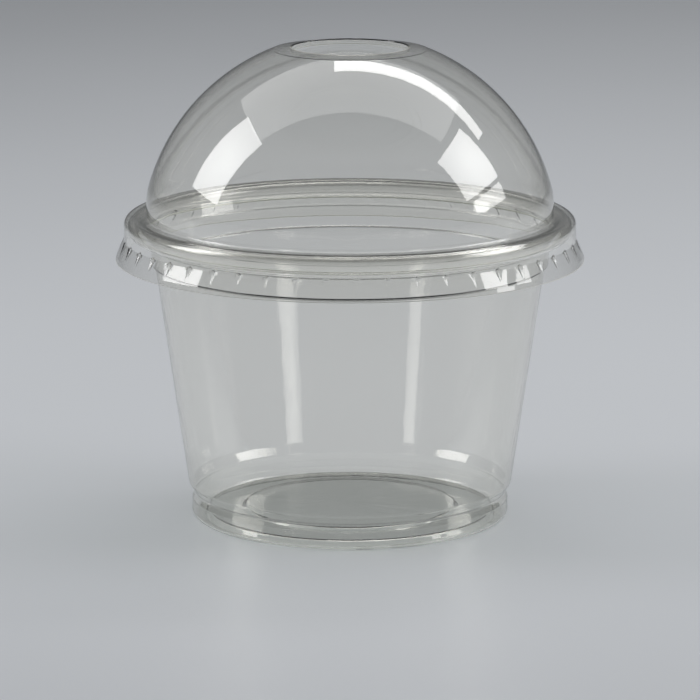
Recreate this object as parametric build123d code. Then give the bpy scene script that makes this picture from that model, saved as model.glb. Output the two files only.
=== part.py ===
from build123d import *
import math
import os

# A clear thermoformed dessert cup and its press-on dome lid, each formed from one sheet of plastic.
# Millimetres, Z up, origin on the table under the centre of the foot. The lid takes its sizes from
# the cup's rim. Unless a value says otherwise, a radius is that of the sheet's outer face.

# Cup: base and foot
cup_wall = 0.35
foot_radius = 34.05
foot_height = 4.0
foot_corner = 1.4
foot_ring_width = 2.9
base_recess = 1.2
panel_radius = 23.1
panel_rise = 0.7

# Cup: waist just above the foot
waist_height = 5.4
waist_depth = 0.5
heel_rise = 2.0
heel_width = 1.2

# Cup: two small steps in the neck, measured down and in from the rim
ledge_drop = 10.0
ledge_width = 0.7
bead_drop = 5.3
bead_width = 0.5
neck_lean = 0.8
neck_draft = 2.0

# Cup: rolled rim
cup_height = 64.8
rim_radius = 47.4
rim_roll = 1.95
rim_turn = 290.0

# Lid: how it sits on the rim
lid_wall = 0.30
seat_gap = 0.10
side_gap = 0.55
dome_inset = 0.10

# Lid: dome, crown and hole
dome_drop = 5.9
dome_neck_height = 4.8
dome_neck_round = 12.0
hole_radius = 12.35
hole_lip = 1.1
crown_width = 4.15
crown_rise = 0.6

# Lid: shoulder, collar and skirt
shoulder_round = 1.7
collar_height = 4.7
skirt_height = 3.4
skirt_flare = 1.5
lip_height = 0.9
lip_flare = 0.3

# Lid: snap dents under the collar
dent_count = 48
dent_phase = 1.7
dent_width = 1.9
dent_height = 1.8
dent_drop = 0.1
dent_rim_gap = 0.20

# Rounds where the sheet bends
soft_round = 0.8
step_round = 0.4
sharp_round = 0.3

# How the lid sits: the underside of its ring lies just over the top of the rolled rim
ring_top = cup_height + seat_gap + lid_wall
collar_radius = rim_radius + side_gap + lid_wall
collar_bottom = ring_top - collar_height
skirt_radius = collar_radius + skirt_flare
skirt_bottom = collar_bottom - skirt_height


def turned_sheet(line, wall, side):
    """One formed sheet: its outer line thickened by wall to one side, then turned once round Z."""
    section = make_face(offset(line, amount=wall, side=side))
    return revolve(Plane.XZ * section, Axis.Z)


def make_cup():
    """Raised panel, foot ring, waist, conical wall, two small steps in the neck and a rolled rim."""
    ring_radius = foot_radius - foot_ring_width
    waist_radius = foot_radius - waist_depth
    roll_radius = rim_roll - cup_wall
    roll_centre = (rim_radius - rim_roll, cup_height - rim_roll)
    neck_radius = roll_centre[0] - roll_radius
    bead_top_radius = neck_radius - neck_lean
    bead_radius = bead_top_radius - bead_width
    bead_height = cup_height - bead_drop
    step_height = cup_height - ledge_drop + ledge_width / 2
    step_radius = bead_radius - (bead_height - step_height) * math.tan(math.radians(neck_draft))
    wall_line = FilletPolyline(
        (0, base_recess + panel_rise),
        (panel_radius - panel_rise, base_recess + panel_rise),
        (panel_radius, base_recess),
        (ring_radius - base_recess / 2, base_recess),
        (ring_radius, 0),
        (foot_radius, 0),
        (foot_radius, foot_height),
        (waist_radius, waist_height),
        (waist_radius + heel_width, waist_height + heel_rise),
        (step_radius - ledge_width, cup_height - ledge_drop),
        (step_radius, step_height),
        (bead_radius, bead_height),
        (bead_top_radius, bead_height + bead_width),
        (neck_radius, roll_centre[1] - step_round),
        (neck_radius, roll_centre[1]),
        radius=[
            sharp_round,
            sharp_round,
            step_round,
            step_round,
            foot_corner,
            soft_round,
            soft_round,
            heel_rise,
            step_round,
            step_round,
            step_round,
            step_round,
            step_round / 2,
        ],
    )
    roll = CenterArc(roll_centre, roll_radius, 180, -rim_turn)
    return turned_sheet(Wire(wall_line.edges() + roll.edges()), cup_wall, Side.LEFT)


def dome_line(neck_radius, crease_radius):
    """The dome's outer line: a sphere from the crease down, rounded into the upright neck below it.
    The round touches the sphere and the neck from inside both. Gives the arcs and two heights."""
    centre = ring_top - dome_drop
    radius = math.hypot(neck_radius, dome_neck_height + dome_drop)
    inner = neck_radius - dome_neck_round
    rise = math.sqrt((radius - dome_neck_round) ** 2 - inner**2)
    join = math.degrees(math.atan2(rise, inner))
    crease = math.degrees(math.acos(crease_radius / radius))
    sphere = CenterArc((0, centre), radius, crease, join - crease)
    neck_round = CenterArc((inner, centre + rise), dome_neck_round, join, -join)
    crease_height = centre + math.sqrt(radius**2 - crease_radius**2)
    return sphere.edges() + neck_round.edges(), crease_height, centre + rise


def make_lid_shell():
    """Hole lip, nearly flat crown, dome, neck, ring over the rim, collar, flared skirt and lip."""
    neck_radius = rim_radius - 2 * rim_roll - dome_inset
    crease_radius = hole_radius + crown_width
    dome, crease_height, neck_top = dome_line(neck_radius, crease_radius)
    crown_top = crease_height + crown_rise
    crown = FilletPolyline(
        (hole_radius, crown_top - hole_lip),
        (hole_radius, crown_top),
        (crease_radius, crease_height),
        radius=sharp_round,
    )
    rim_cover = FilletPolyline(
        (neck_radius, neck_top),
        (neck_radius, ring_top),
        (collar_radius, ring_top),
        (collar_radius, collar_bottom),
        (skirt_radius, skirt_bottom),
        (skirt_radius + lip_flare, skirt_bottom - lip_height),
        radius=[step_round, shoulder_round, step_round, step_round],
    )
    return turned_sheet(Wire(crown.edges() + dome + rim_cover.edges()), lid_wall, Side.RIGHT)


def wedge_faces(point_radius, top, depth, drop, half_width):
    """A four-cornered wedge on the X axis: a point towards Z, a flat top, and a back that far out."""
    back = point_radius + depth
    point = (point_radius, 0, top)
    left = (back, -half_width, top)
    right = (back, half_width, top)
    tip = (back, 0, top - drop)
    corners = [(point, left, right), (point, left, tip), (point, right, tip), (left, right, tip)]
    return [Face(Wire.make_polygon(three, close=True)) for three in corners]


def make_dent():
    """One snap dent: the lump it makes inside the skirt, and the hollow that shows outside."""
    top = collar_bottom - dent_drop
    flare = skirt_flare / skirt_height
    point_radius = rim_radius + dent_rim_gap + lid_wall
    top_depth = collar_radius + dent_drop * flare - point_radius
    tip_depth = top_depth + dent_height * flare
    depth = tip_depth + lid_wall
    drop = dent_height * depth / tip_depth
    half_width = dent_width / 2 * depth / top_depth
    hollow = Solid(Shell(wedge_faces(point_radius, top, depth, drop, half_width)))
    backing = wedge_faces(point_radius - lid_wall, top, depth, drop, half_width)
    middle = lid_wall / 2
    inside = Polyline(
        (point_radius - 2 * lid_wall, top + lid_wall),
        (collar_radius - middle, top + lid_wall),
        (collar_radius - middle, collar_bottom),
        (skirt_radius - middle, skirt_bottom),
        (point_radius - 2 * lid_wall, skirt_bottom),
        close=True,
    )
    room = revolve(Plane.XZ * make_face(inside), Axis.Z)
    lump = Solid(Shell(backing)) + extrude(backing[0], amount=lid_wall, dir=(0, 0, 1))
    return lump & room, hollow


def make_lid():
    """The turned shell with its ring of dents, each pushed in from outside with the wall behind it."""
    lump, hollow = make_dent()
    turns = [dent_phase - 90 + i * 360 / dent_count for i in range(dent_count)]
    lumps = [lump.rotate(Axis.Z, turn) for turn in turns]
    hollows = [hollow.rotate(Axis.Z, turn) for turn in turns]
    return make_lid_shell() + lumps - hollows


os.makedirs("parts", exist_ok=True)
export_step(make_cup().solid(), "parts/cup.step")
export_step(make_lid().solid(), "parts/lid.step")
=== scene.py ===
import math

import bpy
import numpy as np
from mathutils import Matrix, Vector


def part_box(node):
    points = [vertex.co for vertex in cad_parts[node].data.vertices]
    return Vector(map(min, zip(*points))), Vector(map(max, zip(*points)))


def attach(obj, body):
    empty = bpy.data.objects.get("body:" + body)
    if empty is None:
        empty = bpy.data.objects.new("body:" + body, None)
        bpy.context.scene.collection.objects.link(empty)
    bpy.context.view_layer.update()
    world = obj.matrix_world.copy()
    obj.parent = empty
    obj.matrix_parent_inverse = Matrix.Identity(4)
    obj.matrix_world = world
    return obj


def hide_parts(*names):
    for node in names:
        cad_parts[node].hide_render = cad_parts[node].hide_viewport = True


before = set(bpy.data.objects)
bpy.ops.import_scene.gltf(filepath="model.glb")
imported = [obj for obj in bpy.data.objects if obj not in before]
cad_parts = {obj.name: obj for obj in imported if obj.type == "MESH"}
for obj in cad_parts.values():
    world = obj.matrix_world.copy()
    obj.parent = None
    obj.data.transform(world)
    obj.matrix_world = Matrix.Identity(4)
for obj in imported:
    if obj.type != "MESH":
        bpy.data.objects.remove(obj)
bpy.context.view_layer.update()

# Sizes in metres, as the cup and its lid are formed. The rim's place comes from the frame.
MM = 0.001
FULL_TURN = 2 * math.pi
CUP_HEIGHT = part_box("cup")[1].z
RIM_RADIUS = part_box("cup")[1].x

CUP_WALL = 0.35 * MM
FOOT_RADIUS = 34.05 * MM
FOOT_HEIGHT = 4.0 * MM
FOOT_CORNER = 1.4 * MM
FOOT_RING_WIDTH = 2.9 * MM
BASE_RECESS = 1.2 * MM
PANEL_RADIUS = 23.1 * MM
PANEL_RISE = 0.7 * MM
WAIST_HEIGHT = 5.4 * MM
WAIST_DEPTH = 0.5 * MM
HEEL_RISE = 2.0 * MM
HEEL_WIDTH = 1.2 * MM
LEDGE_DROP = 10.0 * MM
LEDGE_WIDTH = 0.7 * MM
BEAD_DROP = 5.3 * MM
BEAD_WIDTH = 0.5 * MM
NECK_LEAN = 0.8 * MM
NECK_DRAFT = math.radians(2.0)
RIM_ROLL = 1.95 * MM
RIM_TURN = math.radians(290.0)

LID_WALL = 0.30 * MM
SEAT_GAP = 0.10 * MM
SIDE_GAP = 0.55 * MM
DOME_INSET = 0.10 * MM
DOME_DROP = 5.9 * MM
DOME_NECK_HEIGHT = 4.8 * MM
DOME_NECK_ROUND = 12.0 * MM
HOLE_RADIUS = 12.35 * MM
HOLE_LIP = 1.1 * MM
CROWN_WIDTH = 4.15 * MM
CROWN_RISE = 0.6 * MM
SHOULDER_ROUND = 1.7 * MM
COLLAR_HEIGHT = 4.7 * MM
SKIRT_HEIGHT = 3.4 * MM
SKIRT_FLARE = 1.5 * MM
LIP_HEIGHT = 0.9 * MM
LIP_FLARE = 0.3 * MM

DENT_COUNT = 48
DENT_PHASE = math.radians(1.7 - 90)
DENT_WIDTH = 1.5 * MM
DENT_HEIGHT = 2.4 * MM
DENT_DEPTH = 0.36 * MM
DENT_DROP = 0.1 * MM
DENT_EASE = 0.30 * MM

SOFT_ROUND = 0.8 * MM
STEP_ROUND = 0.4 * MM
SHARP_ROUND = 0.3 * MM

RING_TOP = CUP_HEIGHT + SEAT_GAP + LID_WALL
COLLAR_RADIUS = RIM_RADIUS + SIDE_GAP + LID_WALL
COLLAR_BOTTOM = RING_TOP - COLLAR_HEIGHT
SKIRT_RADIUS = COLLAR_RADIUS + SKIRT_FLARE
SKIRT_BOTTOM = COLLAR_BOTTOM - SKIRT_HEIGHT
DENT_TOP = COLLAR_BOTTOM - DENT_DROP

# How far each sheet lies off its true form, how its ripples run, and the least share of its full
# depth that a dent has.
CUP_RIPPLE = 0.010 * MM
LID_RIPPLE = 0.006 * MM
RIPPLE_TRIES = 18
FEWEST_LOBES = 2
CUP_MOST_LOBES = 25
LID_MOST_LOBES = 17
RIPPLE_SLANT = 0.12
RIPPLE_REACH = 15 * MM
STIFF_BEND = 60
SHALLOWEST_DENT = 0.85

# How closely the surfaces are divided: longest steps along a section, angles of arcs, and counts.
# Rows no further apart than SAME_PLACE are one, and no slope is divided by less than NEAR_AXIS.
WALL_STEP = 2.4 * MM
COLLAR_STEP = 0.8 * MM
DENT_STEP = 0.22 * MM
CORNER_ARC = math.radians(13)
RIM_ARC = math.radians(9)
DOME_NECK_ARC = math.radians(7)
DOME_ARC = math.radians(2.6)
CUP_ANGLES = 360
DENT_ANGLES = 7
CUT_EDGE_ROWS = 3
SAME_PLACE = 1e-3 * MM
NEAR_AXIS = 2 * MM


# Section lines: rows of (radius, height, normal radius, normal height) along a sheet's outer face.
# The outer face lies on the right of the way that the line runs, and so do the normals.


def turned(v, angles):
    """Direction v turned to the left by each of the angles."""
    cos, sin = np.cos(angles), np.sin(angles)
    return np.stack([v[0] * cos - v[1] * sin, v[0] * sin + v[1] * cos], axis=1)


def bent_line(corners, rounds):
    """Straight runs between corners, each corner rounded by an arc that touches both of its runs.
    An arc of radius r through a turn t begins r tan(t / 2) before the corner, and its centre lies r
    to the left or right of that place, on the side that the line turns to."""
    corners = np.array(corners, float)
    runs = np.diff(corners, axis=0)
    runs /= np.linalg.norm(runs, axis=1)[:, None]
    right = np.stack([runs[:, 1], -runs[:, 0]], axis=1)
    turns = np.arctan2(
        runs[:-1, 0] * runs[1:, 1] - runs[:-1, 1] * runs[1:, 0], (runs[:-1] * runs[1:]).sum(axis=1)
    )
    rows = [np.hstack([corners[0], right[0]])[None]]
    for corner, run, side, r, t in zip(corners[1:-1], runs, right, rounds, turns):
        start = corner - run * r * math.tan(abs(t) / 2)
        normals = turned(side, np.linspace(0, t, 2 + int(abs(t) / CORNER_ARC)))
        rows.append(np.hstack([start + (normals - side) * math.copysign(r, t), normals]))
    rows.append(np.hstack([corners[-1], right[-1]])[None])
    return np.vstack(rows)


def arc_line(centre, radius, start, sweep, step):
    """An arc about centre, from the angle start through sweep. The right of its way points from the
    centre where it runs to the left, and towards the centre where it runs to the right."""
    angles = np.linspace(start, start + sweep, 2 + int(abs(sweep) / step))
    out = np.stack([np.cos(angles), np.sin(angles)], axis=1)
    return np.hstack([np.array(centre) + out * radius, out * math.copysign(1, sweep)])


def joined(*lines):
    """Lines end to end, without the rows where one ends and the next begins at the same place."""
    line = np.vstack(lines)
    steps = np.linalg.norm(np.diff(line[:, :2], axis=0), axis=1)
    return line[np.append(True, steps > SAME_PLACE)]


def spaced(line, longest):
    """The line with rows added on its straight runs, so that no step is longer than longest gives
    for the radius and height that the step begins at."""
    steps = np.linalg.norm(np.diff(line[:, :2], axis=0), axis=1)
    parts = [
        a + (b - a) * np.linspace(0, 1, 1 + int(step / longest(*a[:2])), endpoint=False)[:, None]
        for a, b, step in zip(line[:-1], line[1:], steps)
    ]
    return np.vstack([*parts, line[-1:]])


def cup_line():
    """From the middle of the base outwards and up: raised panel, foot ring, waist, conical wall, two
    small steps in the neck, and the rim rolled outwards and under."""
    ring_radius = FOOT_RADIUS - FOOT_RING_WIDTH
    waist_radius = FOOT_RADIUS - WAIST_DEPTH
    roll_radius = RIM_ROLL - CUP_WALL
    roll_centre = (RIM_RADIUS - RIM_ROLL, CUP_HEIGHT - RIM_ROLL)
    neck_radius = roll_centre[0] - roll_radius
    bead_top_radius = neck_radius - NECK_LEAN
    bead_radius = bead_top_radius - BEAD_WIDTH
    bead_height = CUP_HEIGHT - BEAD_DROP
    step_height = CUP_HEIGHT - LEDGE_DROP + LEDGE_WIDTH / 2
    step_radius = bead_radius - (bead_height - step_height) * math.tan(NECK_DRAFT)
    wall = bent_line(
        [
            (0, BASE_RECESS + PANEL_RISE),
            (PANEL_RADIUS - PANEL_RISE, BASE_RECESS + PANEL_RISE),
            (PANEL_RADIUS, BASE_RECESS),
            (ring_radius - BASE_RECESS / 2, BASE_RECESS),
            (ring_radius, 0),
            (FOOT_RADIUS, 0),
            (FOOT_RADIUS, FOOT_HEIGHT),
            (waist_radius, WAIST_HEIGHT),
            (waist_radius + HEEL_WIDTH, WAIST_HEIGHT + HEEL_RISE),
            (step_radius - LEDGE_WIDTH, CUP_HEIGHT - LEDGE_DROP),
            (step_radius, step_height),
            (bead_radius, bead_height),
            (bead_top_radius, bead_height + BEAD_WIDTH),
            (neck_radius, roll_centre[1] - STEP_ROUND),
            roll_centre - np.array([roll_radius, 0]),
        ],
        [SHARP_ROUND] * 2 + [STEP_ROUND] * 2 + [FOOT_CORNER] + [SOFT_ROUND] * 2 + [HEEL_RISE]
        + [STEP_ROUND] * 4 + [STEP_ROUND / 2],
    )
    roll = arc_line(roll_centre, roll_radius, math.pi, -RIM_TURN, RIM_ARC)
    return spaced(joined(wall, roll), lambda radius, height: WALL_STEP)


def lid_line():
    """From the edge of the skirt up and inwards: lip, skirt, collar, ring over the rim, upright neck,
    a sphere for the dome, nearly flat crown, and the lip turned down round the hole."""
    neck_radius = RIM_RADIUS - 2 * RIM_ROLL - DOME_INSET
    crease_radius = HOLE_RADIUS + CROWN_WIDTH
    centre = RING_TOP - DOME_DROP
    sphere_radius = math.hypot(neck_radius, DOME_NECK_HEIGHT + DOME_DROP)
    inner = neck_radius - DOME_NECK_ROUND
    rise = math.sqrt((sphere_radius - DOME_NECK_ROUND) ** 2 - inner**2)
    join = math.atan2(rise, inner)
    crease = math.acos(crease_radius / sphere_radius)
    crease_height = centre + sphere_radius * math.sin(crease)
    crown_top = crease_height + CROWN_RISE
    rim_cover = bent_line(
        [
            (SKIRT_RADIUS + LIP_FLARE, SKIRT_BOTTOM - LIP_HEIGHT),
            (SKIRT_RADIUS, SKIRT_BOTTOM),
            (COLLAR_RADIUS, COLLAR_BOTTOM),
            (COLLAR_RADIUS, RING_TOP),
            (neck_radius, RING_TOP),
            (neck_radius, centre + rise),
        ],
        [STEP_ROUND, STEP_ROUND, SHOULDER_ROUND, STEP_ROUND],
    )
    neck_round = arc_line((inner, centre + rise), DOME_NECK_ROUND, 0, join, DOME_NECK_ARC)
    sphere = arc_line((0, centre), sphere_radius, join, crease - join, DOME_ARC)
    # The crown begins a short way in from the crease, and the narrow bevel that this leaves between
    # it and the sphere is shaded as a round.
    crease_share = SHARP_ROUND / CROWN_WIDTH
    crown = bent_line(
        [
            (crease_radius - CROWN_WIDTH * crease_share, crease_height + CROWN_RISE * crease_share),
            (HOLE_RADIUS, crown_top),
            (HOLE_RADIUS, crown_top - HOLE_LIP),
        ],
        [SHARP_ROUND],
    )

    def longest(radius, height):
        if DENT_TOP - DENT_HEIGHT < height < DENT_TOP + DENT_EASE:
            return DENT_STEP
        return COLLAR_STEP if height < RING_TOP else WALL_STEP

    return spaced(joined(rim_cover, neck_round, sphere, crown), longest)


# Formed sheets: a section line turned round Z, with its ripples and dents, and given its thickness.


def ripples(line, angles, seed, size, most_lobes):
    """How far the sheet lies off its true form: a sum of cosines of the angle and of the length
    along the section, with random phases, where a finer ripple is shallower. Each leans by up to
    RIPPLE_SLANT radians a millimetre. They fade out at the axis and in rounded corners, which are
    stiff: a bend of STIFF_BEND radians a metre leaves half of them."""
    rng = np.random.default_rng(seed)
    lobes = np.unique(rng.integers(FEWEST_LOBES, most_lobes + 1, RIPPLE_TRIES))
    slants = rng.uniform(-1, 1, len(lobes)) * RIPPLE_SLANT / MM
    phases = rng.uniform(0, FULL_TURN, len(lobes))
    steps = np.linalg.norm(np.diff(line[:, :2], axis=0), axis=1)
    length = np.append(0, np.cumsum(steps))[:, None, None]
    waves = np.cos(lobes * angles[:, None] + slants * length + phases) / np.sqrt(lobes)
    bends = np.abs(np.gradient(line[:, 2], length.ravel())) + np.abs(
        np.gradient(line[:, 3], length.ravel())
    )
    stiff = 1 / (1 + (bends / STIFF_BEND) ** 2)
    reach = np.clip(line[:, 0] / RIPPLE_REACH, 0, 1)
    return size * waves.sum(axis=2) * (stiff * reach)[:, None]


def dent_angles():
    """Angles once round, closer together across each dent than between dents."""
    half = DENT_WIDTH / 2 / COLLAR_RADIUS
    pitch = FULL_TURN / DENT_COUNT
    across = np.linspace(-half, half, DENT_ANGLES)
    between = np.linspace(half, pitch - half, DENT_ANGLES)[1:-1]
    return (DENT_PHASE + pitch * np.arange(DENT_COUNT)[:, None] + np.append(across, between)).ravel()


def dents(line, angles):
    """Depth of the ring of notches under the collar. Each is a corner pushed in deepest at its top:
    with v as the share of its height below that place and u as the share of its half width, its
    depth is (1 - v - |u|) of the whole, and above that place it eases out over a shorter height.
    Each dent has its own share of the full depth, from SHALLOWEST_DENT to 1."""
    rng = np.random.default_rng(seed=11)
    deepest = rng.uniform(SHALLOWEST_DENT, 1.0, DENT_COUNT)
    pitch = FULL_TURN / DENT_COUNT
    places = (angles - DENT_PHASE) / pitch
    which = np.round(places).astype(int)
    off_middle = np.abs(places - which) * pitch * COLLAR_RADIUS / (DENT_WIDTH / 2)
    below = DENT_TOP - line[:, 1]
    off_top = np.where(below > 0, below / DENT_HEIGHT, -below / DENT_EASE)
    off_top[line[:, 0] < COLLAR_RADIUS - DENT_DEPTH] = 1
    depth = np.clip(1 - off_top[:, None] - off_middle, 0, 1)
    return DENT_DEPTH * depth * deepest[which % DENT_COUNT]


def formed_sheet(name, line, angles, wall, push):
    """A closed sheet of an even thickness. Its outer face is (r cos a, r sin a, z) for each row and
    angle, moved along its normal by push. The normal leans back from where push grows along the
    section or round it. The inner face lies a wall behind it, and a half round closes each edge."""
    cos, sin = np.cos(angles)[None, :, None], np.sin(angles)[None, :, None]

    def around(radial, upward):
        radial = radial[:, None, None]
        return np.concatenate([radial * cos, radial * sin, upward[:, None, None] + 0 * cos], axis=2)

    steps = np.linalg.norm(np.diff(line[:, :2], axis=0), axis=1)
    length = np.append(0, np.cumsum(steps))
    normal = around(line[:, 2], line[:, 3])
    along = around(-line[:, 3], line[:, 2])
    round_z = np.concatenate([-sin, cos, 0 * cos], axis=2)
    outer = around(line[:, 0], line[:, 1]) + push[:, :, None] * normal
    slope = np.gradient(push, length, axis=0)[:, :, None]
    wrapped = np.hstack([push[:, -1:], push, push[:, :1]])
    turns = np.hstack([angles[-1] - FULL_TURN, angles, angles[0] + FULL_TURN])
    lean = np.gradient(wrapped, turns, axis=1)[:, 1:-1, None]
    lean = lean / np.maximum(line[:, 0], NEAR_AXIS)[:, None, None]
    normal = normal - slope * along - lean * round_z
    normal /= np.linalg.norm(normal, axis=2)[:, :, None]
    inner = outer - wall * normal

    def edge(row, way):
        out = np.linspace(0, math.pi, CUT_EDGE_ROWS + 2)[1:-1, None, None]
        directions = np.cos(out) * normal[row] * way + np.sin(out) * along[row] * way
        return (outer[row] + inner[row]) / 2 + directions * wall / 2, directions

    far_points, far_normals = edge(-1, 1)
    points = [outer, far_points, inner[::-1]]
    normals = [normal, far_normals, -normal[::-1]]
    cut = np.arange(len(line) - 1, len(line) + len(far_points))
    has_hole = line[0, 0] > 0
    if has_hole:
        near_points, near_normals = edge(0, -1)
        points.append(near_points)
        normals.append(near_normals)
        cut = np.append(cut, cut + len(line) + len(near_points))
    return grid_mesh(name, np.concatenate(points), np.concatenate(normals), has_hole, cut)


def grid_mesh(name, points, normals, ring, second_finish):
    """A mesh of a grid of points, closed round its columns, and round its rows too if it is a ring.
    Without a ring its first and last rows are poles: all their points are one. The faces that begin
    at the rows in second_finish take the second material."""
    rows, columns = points.shape[:2]
    index = np.arange(rows * columns).reshape(rows, columns)
    if ring:
        index = np.vstack([index, index[:1]])
    else:
        index = index - (columns - 1)
        index[0], index[-1] = 0, index[-1, 0]
        keep = slice(columns - 1, rows * columns - columns + 1)
        points, normals = points.reshape(-1, 3)[keep], normals.reshape(-1, 3)[keep]
    turned_on = np.roll(index, -1, axis=1)
    quads = np.stack([index[:-1], turned_on[:-1], turned_on[1:], index[1:]], axis=2)
    faces = quads.reshape(-1, 4).tolist()
    if not ring:
        first_pole, last_pole = quads[0][:, [0, 2, 3]].tolist(), quads[-1][:, :3].tolist()
        faces = first_pole + faces[columns:-columns] + last_pole
    mesh = bpy.data.meshes.new(name)
    mesh.from_pydata(points.reshape(-1, 3).tolist(), [], faces)
    finishes = np.isin(np.arange(len(faces)) // columns, second_finish).astype(np.int32)
    mesh.polygons.foreach_set("material_index", finishes)
    mesh.shade_smooth()
    mesh.normals_split_custom_set_from_vertices(normals.reshape(-1, 3).tolist())
    piece = bpy.data.objects.new(name, mesh)
    bpy.context.scene.collection.objects.link(piece)
    return piece


def make_cup():
    line = cup_line()
    angles = np.linspace(0, FULL_TURN, CUP_ANGLES, endpoint=False)
    push = ripples(line, angles, seed=3, size=CUP_RIPPLE, most_lobes=CUP_MOST_LOBES)
    return formed_sheet("clear_cup", line, angles, CUP_WALL, push)


def make_lid():
    line = lid_line()
    angles = dent_angles()
    push = ripples(line, angles, seed=5, size=LID_RIPPLE, most_lobes=LID_MOST_LOBES)
    return formed_sheet("clear_dome_lid", line, angles, LID_WALL, push - dents(line, angles))


# Materials

SHEET_TINT = (0.995, 0.993, 0.982)
SHEET_SHADE = (0.89, 0.90, 0.90)
SHEET_DEPTH_TINT = (0.93, 0.905, 0.77)
SHEET_ABSORPTION = 230.0
SHEET_ROUGHNESS = 0.015
SHEET_IOR = 1.57
CUP_STREAKS = 1.5e-5
LID_STREAKS = 0.5e-5
SKIN_SHARE = 0.5
FINE_SHARE = 0.4
STREAK_STRETCH = 0.12


class Value:
    """An output of a node. An operator on it adds the Math node that works it out."""

    def __init__(self, nodes, socket):
        self.nodes, self.socket = nodes, socket

    def maths(self, operation, first, second):
        return self.nodes.add("ShaderNodeMath", {"operation": operation}, {0: first, 1: second})

    def __add__(self, other):
        return self.maths("ADD", self, other)

    def __sub__(self, other):
        return self.maths("SUBTRACT", self, other)

    def __rsub__(self, other):
        return self.maths("SUBTRACT", other, self)

    def __mul__(self, other):
        return self.maths("MULTIPLY", self, other)

    __radd__ = __add__
    __rmul__ = __mul__


class Nodes:
    """The nodes of one material."""

    def __init__(self, name):
        self.material = bpy.data.materials.new(name)
        self.material.use_nodes = True
        self.tree = self.material.node_tree
        self.tree.nodes.clear()
        self.output = self.tree.nodes.new("ShaderNodeOutputMaterial")

    def add(self, kind, settings, sockets, output=0):
        """A new node of that kind: its settings first, then the value or link of each socket."""
        node = self.tree.nodes.new(kind)
        for name, value in settings.items():
            setattr(node, name, value)
        for name, value in sockets.items():
            self.feed(node.inputs[name], value)
        return Value(self, node.outputs[output])

    def feed(self, socket, value):
        if isinstance(value, Value):
            self.tree.links.new(value.socket, socket)
        else:
            socket.default_value = value

    def finish(self, surface, volume=None):
        self.feed(self.output.inputs["Surface"], surface)
        if volume:
            self.feed(self.output.inputs["Volume"], volume)
        return self.material


def clear_plastic(name, streak_height):
    """Clear glossy sheet: long shallow streaks in the way that it was drawn, over a fine skin. Its
    warmth is in its depth. Shadows and soft light bouncing off the floor pass it unbent, a little
    darkened."""
    nodes = Nodes(name)
    place = nodes.add("ShaderNodeTexCoord", {}, {}, "Object")
    stretched = nodes.add("ShaderNodeMapping", {}, {"Vector": place, "Scale": (1, 1, STREAK_STRETCH)})
    streaks = nodes.add("ShaderNodeTexNoise", {}, {"Vector": stretched, "Scale": 260, "Detail": 2})
    skin = nodes.add("ShaderNodeTexNoise", {}, {"Vector": place, "Scale": 150, "Detail": 2})
    fine = nodes.add("ShaderNodeTexNoise", {}, {"Vector": stretched, "Scale": 900, "Detail": 1})
    height = streaks * streak_height + skin * (SKIN_SHARE * streak_height)
    height = height + fine * (FINE_SHARE * streak_height)
    bump = nodes.add("ShaderNodeBump", {}, {"Height": height, "Distance": 1.0, "Strength": 1.0})
    plastic = nodes.add(
        "ShaderNodeBsdfPrincipled",
        {},
        {
            "Base Color": (*SHEET_TINT, 1),
            "Roughness": SHEET_ROUGHNESS,
            "IOR": SHEET_IOR,
            "Transmission Weight": 1.0,
            "Normal": bump,
        },
    )
    through = nodes.add("ShaderNodeBsdfTransparent", {}, {"Color": (*SHEET_SHADE, 1)})
    shadow = nodes.add("ShaderNodeLightPath", {}, {}, "Is Shadow Ray")
    bounce = nodes.add("ShaderNodeLightPath", {}, {}, "Is Diffuse Ray")
    seen = nodes.add("ShaderNodeMixShader", {}, {0: bounce, 1: plastic, 2: through})
    surface = nodes.add("ShaderNodeMixShader", {}, {0: shadow, 1: seen, 2: through})
    depth = nodes.add(
        "ShaderNodeVolumeAbsorption",
        {},
        {"Color": (*SHEET_DEPTH_TINT, 1), "Density": SHEET_ABSORPTION},
    )
    return nodes.finish(surface, depth)


def cut_edge():
    """Whitened plastic where the sheet was cut: matt, with a fine grain from the die."""
    nodes = Nodes("whitened_cut_edge")
    place = nodes.add("ShaderNodeTexCoord", {}, {}, "Object")
    grain = nodes.add("ShaderNodeTexNoise", {}, {"Vector": place, "Scale": 2500, "Detail": 2})
    edge = nodes.add(
        "ShaderNodeBsdfPrincipled",
        {},
        {"Base Color": (0.84, 0.83, 0.79, 1), "Roughness": grain * 0.2 + 0.35},
    )
    return nodes.finish(edge)


def pale_floor():
    """Pale satin board with a barely uneven surface."""
    nodes = Nodes("pale_board")
    place = nodes.add("ShaderNodeTexCoord", {}, {}, "Object")
    clouds = nodes.add("ShaderNodeTexNoise", {}, {"Vector": place, "Scale": 6, "Detail": 3})
    board = nodes.add(
        "ShaderNodeBsdfPrincipled",
        {},
        {"Base Color": (0.70, 0.72, 0.75, 1), "Roughness": clouds * 0.06 + 0.30},
    )
    return nodes.finish(board)


# The object

cup = make_cup()
whitened = cut_edge()
cup.data.materials.append(clear_plastic("clear_cup_sheet", CUP_STREAKS))
cup.data.materials.append(whitened)
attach(cup, "cup")
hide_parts("cup")

lid = make_lid()
lid.data.materials.append(clear_plastic("clear_lid_sheet", LID_STREAKS))
lid.data.materials.append(whitened)
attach(lid, "lid")
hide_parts("lid")


# Floor, lights and camera

FLOOR_RADIUS = 4.0
FLOOR_ANGLES = 96
CAMERA_PLACE = (0, -0.945, 0.2366)
CAMERA_PITCH = math.radians(12)
CAMERA_LENS = 231.4
SENSOR_WIDTH = 36.0


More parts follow.
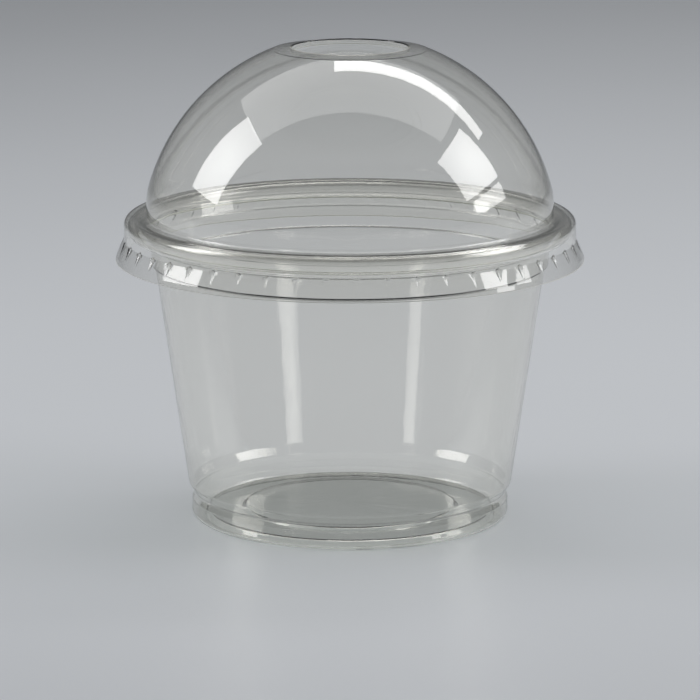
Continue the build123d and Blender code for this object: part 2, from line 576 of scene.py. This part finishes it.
def make_floor():
    """A flat disc: (r cos a, r sin a, 0) for one ring of angles."""
    angles = np.linspace(0, FULL_TURN, FLOOR_ANGLES, endpoint=False)
    ring = np.stack([np.cos(angles), np.sin(angles), 0 * angles], axis=1) * FLOOR_RADIUS
    mesh = bpy.data.meshes.new("floor")
    mesh.from_pydata(ring.tolist(), [], [list(range(len(ring)))])
    floor = bpy.data.objects.new("floor", mesh)
    floor.data.materials.append(pale_floor())
    bpy.context.scene.collection.objects.link(floor)


def soft_light(name, place, size, turn, radiance, spread=180):
    """A flat lamp of that radiance straight ahead. Unturned it faces down. Its power is pi times its
    area times the radiance. Within a narrower spread, of half angle h, it fades towards its edges,
    and Blender brightens it by tan h / (tan h - h), which is taken off again here."""
    data = bpy.data.lights.new(name, "AREA")
    data.shape = "RECTANGLE"
    data.size, data.size_y = size
    data.spread = math.radians(spread)
    half = data.spread / 2
    share = 1 - half / math.tan(half) if spread < 180 else 1
    data.energy = math.pi * size[0] * size[1] * radiance * share
    lamp = bpy.data.objects.new(name, data)
    lamp.location = place
    lamp.rotation_euler = [math.radians(angle) for angle in turn]
    lamp.visible_camera = False
    bpy.context.scene.collection.objects.link(lamp)
    return lamp


def make_lights():
    """Two softboxes and a low side light, a strip and a wide panel overhead, and two upright strips
    in front that draw the long streaks down the wall. The strips stand low, so they light only the
    cup, which keeps them from showing in the floor and through the dome."""
    soft_light("left_softbox", (-0.627, 0.05, 0.473), (0.437, 0.315), (0, -57, 0), 5.0, 100)
    soft_light("right_softbox", (0.630, -0.041, 0.482), (0.304, 0.385), (0, 57, 0), 5.0, 100)
    soft_light("right_low_light", (0.760, -0.03, 0.300), (0.09, 0.34), (0, 72, 0), 3.0)
    soft_light("back_strip", (0.44, 0.42, 0.76), (1.02, 0.17), (0, 0, 0), 3.5)
    soft_light("ceiling_panel", (0.0, 0.28, 0.86), (1.40, 0.74), (0, 0, 0), 0.95)
    strips = [
        soft_light("front_right_strip", (0.50, -0.57, 0.125), (0.17, 0.24), (90, 0, 41), 3.2, 22),
        soft_light("front_left_strip", (-0.53, -0.55, 0.115), (0.12, 0.22), (90, 0, -44), 2.6, 22),
    ]
    lit_by_strips = bpy.data.collections.new("lit_by_strips")
    lit_by_strips.objects.link(cup)
    for strip in strips:
        strip.light_linking.receiver_collection = lit_by_strips
    world = bpy.data.worlds.new("studio")
    world.use_nodes = True
    world.node_tree.nodes["Background"].inputs["Color"].default_value = (0.15, 0.155, 0.16, 1)
    bpy.context.scene.world = world


def make_camera():
    data = bpy.data.cameras.new("camera")
    data.lens, data.sensor_width = CAMERA_LENS, SENSOR_WIDTH
    camera = bpy.data.objects.new("camera", data)
    camera.location = CAMERA_PLACE
    camera.rotation_euler = (math.radians(90) - CAMERA_PITCH, 0, 0)
    bpy.context.scene.collection.objects.link(camera)
    bpy.context.scene.camera = camera


make_floor()
make_lights()
make_camera()
bpy.context.scene.view_settings.view_transform = "Standard"
